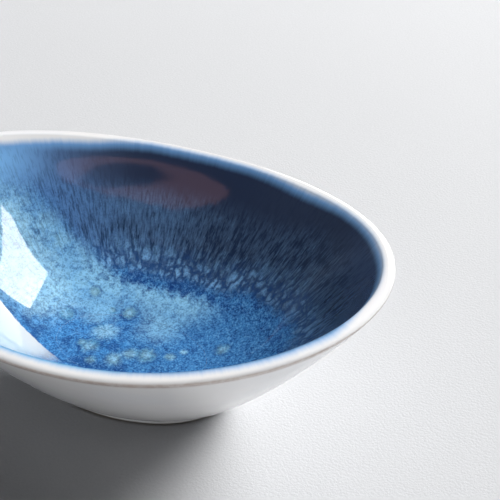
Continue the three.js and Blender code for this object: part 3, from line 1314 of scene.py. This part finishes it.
# %% [markdown]
# The blue glaze lines the inside, and the glass that ran down the wall stands on it as a pool. A
# fluid simulation could pour it, but a liquid that has come to rest is just a level top. The last
# layer is the white glaze in the hidden recess inside the foot.
# %% Blue glaze, pool and recess
inner_glaze = layer(
    "inner_glaze_fired", plain(clay_inner) + inside_rows, inner_glaze_finish, closed=False
)
glaze_pool = layer(
    "glaze_pool_fired",
    plain(glazed_floor) + pool_rows[-2::-1],
    pool_finish,
    closed=False,
)
recess_glaze = layer(
    "recess_glaze_fired",
    plain([
        pole(foot_height),
        inside_sole(recess_inset + foot_draft + white_glaze, foot_height),
        inside_sole(recess_inset + white_glaze, bare_foot_height),
        recess_stop,
        recess_top,
        pole(joint_height),
    ]),
    recess_finish,
    closed=False,
)
fired = (
    (clay_body, "clay_body", "stoneware_clay"),
    (foot_ring, "foot_ring", "foot_clay"),
    (outer_glaze, "outer_glaze", "white_glaze"),
    (rim_line, "rim_line", "brown_line"),
    (lip_glaze, "lip_glaze", "lip_white"),
    (inner_glaze, "inner_glaze", "blue_glaze"),
    (glaze_pool, "glaze_pool", "pool_glass"),
    (recess_glaze, "recess_glaze", "recess_white"),
)
print("layers:", len(fired))

# %% [markdown]
# The crystals on the floor are listed one by one. For every point of the glass, the script looks
# for the nearest crystal, counted in its own radius. Distances change smoothly from point to
# point, which a pattern needs, where the ways alone would jump half way between two crystals.
# %% Where the crystals are
blooms = (  # x, y, radius in mm, 1 for a crystal or 0 for a milky patch, and olive from 0 to 1
    (-8.9, 3.4, 3.0, 1, 0.0),
    (-9.6, -2.7, 2.2, 1, 0.3),
    (-2.0, -4.9, 1.9, 1, 0.5),
    (0.6, -1.6, 1.7, 1, 0.6),
    (4.3, -0.6, 2.2, 1, 0.8),
    (9.7, 1.3, 1.2, 1, 0.8),
    (12.0, 4.2, 0.9, 1, 0.2),
    (20.5, 7.3, 1.5, 1, 0.5),
    (-20.1, 4.8, 1.7, 1, 0.2),
    (-6.5, 11.6, 1.7, 1, 0.7),
    (-11.9, -2.4, 1.2, 1, 0.7),
    (-7.1, -7.3, 1.3, 1, 0.3),
    (-17.0, 13.6, 1.2, 1, 1.0),
    (-10.9, 10.8, 1.0, 1, 0.8),
    (2.5, 10.0, 4.2, 0, 0.0),
    (-13.5, 9.0, 3.4, 0, 0.0),
)
growth = 1.25
for piece in (inner_glaze, glaze_pool, lip_glaze):
    piece.data.attributes.new("bloom", "FLOAT_VECTOR", "POINT")
    piece.data.attributes.new("bloom_way", "FLOAT_VECTOR", "POINT")
    reaches = piece.data.attributes["bloom"].data
    ways = piece.data.attributes["bloom_way"].data
    for place, vertex in enumerate(piece.data.vertices):
        spot = vertex.co / MM
        nearest = min(
            (math.dist(spot.xy, (x, y)) / radius / growth, kind, olive, x, y)
            for x, y, radius, kind, olive in blooms
        )
        reach, kind, olive, x, y = nearest
        reaches[place].vector = (reach, kind, olive)
        ways[place].vector = (spot.x - x, spot.y - y, 0)
print("crystals placed:", len(blooms))

# %% [markdown]
# The bowl stands on a pale matt table top with a fine grain. A studio would use a sweep of paper,
# but no view here reaches its bend, so a flat square of twelve metres is enough.
# %% Table
table_half = 6.0
table_dark = (0.58, 0.584, 0.596, 1)
table_light = (0.608, 0.612, 0.624, 1)

table = bpy.data.objects.new("table_top", bpy.data.meshes.new("table_top"))
table.data.from_pydata(
    [(x * table_half, y * table_half, 0) for x, y in ((-1, -1), (1, -1), (1, 1), (-1, 1))],
    [],
    [(0, 1, 2, 3)],
)
table_finish, tree, sockets = new_material("table_top")
grain = noise(tree, place_in_mm(tree), 1.6, 4.0, 0.6)
table_color = blend(tree, ease(tree, grain, 0.3, 0.7), table_dark, table_light)
fill(tree, sockets["Base Color"], table_color)
fill(tree, sockets["Normal"], bump(tree, grain, 0.07))
sockets["Roughness"].default_value = 0.8
sockets["Specular IOR Level"].default_value = 0.2
table.data.materials.append(table_finish)
bpy.context.scene.collection.objects.link(table)
print("table top:", [round(side, 1) for side in table.dimensions], "m")

# %% [markdown]
# Glaze shows its lamps as mirror images, so a lamp's shape and place matter as much as its
# strength. Each lamp is therefore a flat card of light that faces the bowl, and not one of
# Blender's own lamps. A bearing says where it stands: azimuth 0 is in front of the bowl, 90 to
# its right, and the elevation is the angle above the table. Its corners are given in
# millimetres in its own plane, to the right and up as seen from the bowl. The camera never sees
# a card, and one that is only mirrored gives no light and no shadow.
# %% A card of light
def bearing(azimuth, elevation):
    turn, lift = math.radians(azimuth), math.radians(elevation)
    return Vector((
        math.sin(turn) * math.cos(lift), -math.cos(turn) * math.cos(lift), math.sin(lift)
    ))


def rectangle(half_width, low, high):
    return (-half_width, low), (half_width, low), (half_width, high), (-half_width, high)


hollow_edge = (0.7, 1.1)
hollow_share = 0.05


def hollow_strength(tree, mesh, corners, power, hollow):
    """Power that falls off in a hollow: an oval's middle, then its half sizes."""
    x, y, half_length, half_width = hollow
    in_hollow = mesh.attributes.new("in_hollow", "FLOAT_VECTOR", "POINT")
    for corner, kept in zip(corners, in_hollow.data):
        kept.vector = ((corner[0] - x) / half_length, (corner[1] - y) / half_width, 0)
    off_middle = vector_calc(tree, "LENGTH", attribute(tree, "in_hollow", "Vector"))
    return ease(tree, off_middle, *hollow_edge, power * hollow_share, power)


def card(
    name, azimuth, elevation, distance, corners, color, power,
    lights=True, mirrored=True, hollow=None,
):
    outwards = bearing(azimuth, elevation)
    aside = Vector((math.cos(math.radians(azimuth)), math.sin(math.radians(azimuth)), 0))
    upright = outwards.cross(aside)
    mesh = bpy.data.meshes.new(name)
    mesh.from_pydata(
        [(outwards * distance + aside * x + upright * y) * MM for x, y in corners],
        [],
        [list(range(len(corners)))],
    )
    glow = bpy.data.materials.new(name)
    glow.use_nodes = True
    tree = glow.node_tree
    tree.nodes.clear()
    strength = hollow_strength(tree, mesh, corners, power, hollow) if hollow else power
    lamp = put(tree, "ShaderNodeEmission", {"Color": color, "Strength": strength})
    put(tree, "ShaderNodeOutputMaterial", {"Surface": lamp.outputs[0]})
    mesh.materials.append(glow)
    shown = bpy.data.objects.new(name, mesh)
    shown.visible_camera = False
    shown.visible_diffuse = lights
    shown.visible_shadow = lights
    shown.visible_glossy = mirrored
    bpy.context.scene.collection.objects.link(shown)
    return shown


# %% [markdown]
# A lamp can be told which objects it may light: that is light linking, and the list is a
# collection on the lamp. Here it keeps the bowl's lamps off the table and the table's off the
# bowl, so that the shadow and the glaze can each be brought to the photograph's level.
# %% Which lamp lights what
def shine_on(name, receivers, lamps):
    """Lets some lamps light some objects only."""
    lit = bpy.data.collections.new(name)
    for receiver in receivers:
        lit.objects.link(receiver)
    for lamp in lamps:
        lamp.light_linking.receiver_collection = lit


warm_white = (1.0, 0.985, 0.97, 1)
cool_white = (0.97, 0.985, 1.0, 1)
dusky_rose = (1.0, 0.50, 0.46, 1)
lamp_distance = 1800
image_distance = 1850
table_lamp_distance = 3000

# %% [markdown]
# The bowl's light is one big softbox to the right and a little behind, with five corners because
# its mirror image in the glaze has them. A weak fill from the front and one from above left keep
# the shaded side open.
# %% Lamps of the bowl
softbox_azimuth, softbox_elevation = 120, 50
softbox_shape = ((-440, 785), (1010, 400), (694, -199), (-1077, -39), (-1138, 115))

bowl_lamps = [
    card(name, azimuth, elevation, lamp_distance, corners, color, power, mirrored=False)
    for name, azimuth, elevation, corners, color, power in (
        ("bowl_key", softbox_azimuth, softbox_elevation, softbox_shape, warm_white, 10.4),
        ("front_fill", 345, 8, rectangle(600, -200, 350), cool_white, 3.9),
        ("top_fill", 285, 55, rectangle(350, -350, 350), cool_white, 4.0),
    )
]
shine_on("lit_bowl", [piece for piece, _, _ in fired], bowl_lamps)
print("lamps of the bowl:", ", ".join(lamp.name for lamp in bowl_lamps))

# %% [markdown]
# The table's light makes the shadow at the front left. Its soft edge takes a wide lamp, and a
# second, low one behind the bowl lifts the far side of the table.
# %% Lamps of the table
table_lamps = [
    card(name, azimuth, elevation, table_lamp_distance, corners, color, power, mirrored=False)
    for name, azimuth, elevation, corners, color, power in (
        ("table_key", 140, 44, rectangle(783, -750, 750), warm_white, 22.6),
        ("table_low", 167, 16, rectangle(908, -733, 975), cool_white, 22.0),
    )
]
shine_on("lit_table", (table,), table_lamps)
print("lamps of the table:", ", ".join(lamp.name for lamp in table_lamps))

# %% [markdown]
# Two of the shapes in the glaze are the softbox itself, drawn larger because its card stands
# further off, and a bright window low behind the bowl. The softbox shows in the inside only, as
# on the lip it would run out into a long streak.
# %% What the glaze mirrors
further = image_distance / lamp_distance
window_shape = (
    (-355, 290), (140, 242), (308, 164), (692, -179), (843, -432), (781, -884), (-534, -884)
)

softbox_image = card(
    "softbox_image",
    azimuth=softbox_azimuth,
    elevation=softbox_elevation,
    distance=image_distance,
    corners=[(x * further, y * further) for x, y in softbox_shape],
    color=warm_white,
    power=10.6,
    lights=False,
)
shine_on("mirrors_softbox", (inner_glaze, glaze_pool), (softbox_image,))
card(
    "window_image",
    azimuth=175,
    elevation=25,
    distance=image_distance,
    corners=window_shape,
    color=cool_white,
    power=6.0,
    lights=False,
)
print("the softbox shows in", inner_glaze.name, "and", glaze_pool.name)

# %% [markdown]
# The reddish oval ring on the back wall is the image of something small beside the camera, so a
# dim rose card stands 47 mm from the bowl, darker in a hollow. Its outline is an ellipse that is
# fuller at one end and a little bent. A curved bowl shows a near thing twice, and the photograph
# has it once: a level black card just above the bowl hides the second image.
# %% The oval and its flag
oval_x, oval_y = -20.0, 45.8
oval_half_length, oval_half_width = 10.4, 3.4
oval_tilt = math.radians(9.7)
oval_fullness = 0.13
oval_bend = 2.33
oval_points = 72
oval_hollow = (-17.0, 46.5, 5.0, 2.4)
flag_shape = ((-22.5, 13.5), (0, 13.5), (0, 21.6), (-22.5, 21.6))


def oval_corner(angle):
    along = oval_half_length * math.cos(angle)
    across = oval_half_width * math.sin(angle) * (1 + oval_fullness * math.cos(angle))
    across += oval_bend * math.cos(angle) ** 2
    turned = Matrix.Rotation(oval_tilt, 2) @ Vector((along, across))
    return oval_x + turned.x, oval_y + turned.y


card(
    "oval_image",
    azimuth=5,
    elevation=37,
    distance=47,
    corners=[oval_corner(math.tau * step / oval_points) for step in range(oval_points)],
    color=dusky_rose,
    power=0.75,
    lights=False,
    hollow=oval_hollow,
)
card(
    "oval_flag",
    azimuth=0,
    elevation=90,
    distance=25,
    corners=flag_shape,
    color=warm_white,
    power=0.0,
    lights=False,
)
cards = [thing.name for thing in bpy.data.objects if not thing.visible_camera]
print("cards of light:", ", ".join(cards))

# %% [markdown]
# The room itself is dim, so that the navy stays dark. A ray from the camera that misses the table
# sees a pale background.
# %% The room
room_tint = (0.9, 0.95, 1.0, 1)
room_strength = 0.025
background = (0.80, 0.81, 0.83, 1)

world = bpy.data.worlds.new("studio")
bpy.context.scene.world = world
world.use_nodes = True
tree = world.node_tree
tree.nodes.clear()
dim = put(tree, "ShaderNodeBackground", {"Color": room_tint, "Strength": room_strength})
pale = put(tree, "ShaderNodeBackground", {"Color": background, "Strength": 1.0})
seen = put(tree, "ShaderNodeLightPath").outputs["Is Camera Ray"]
room = put(
    tree, "ShaderNodeMixShader", {0: seen, 1: dim.outputs[0], 2: pale.outputs[0]}
).outputs[0]
put(tree, "ShaderNodeOutputWorld", {"Surface": room})

# %% [markdown]
# Last, each piece is tied to the frame: it rides on the bowl's one body and takes the place of its
# node, which is hidden.
# %% Tying the pieces to the frame
for piece, node, slot in fired:
    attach(piece, "root")
    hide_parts(node)
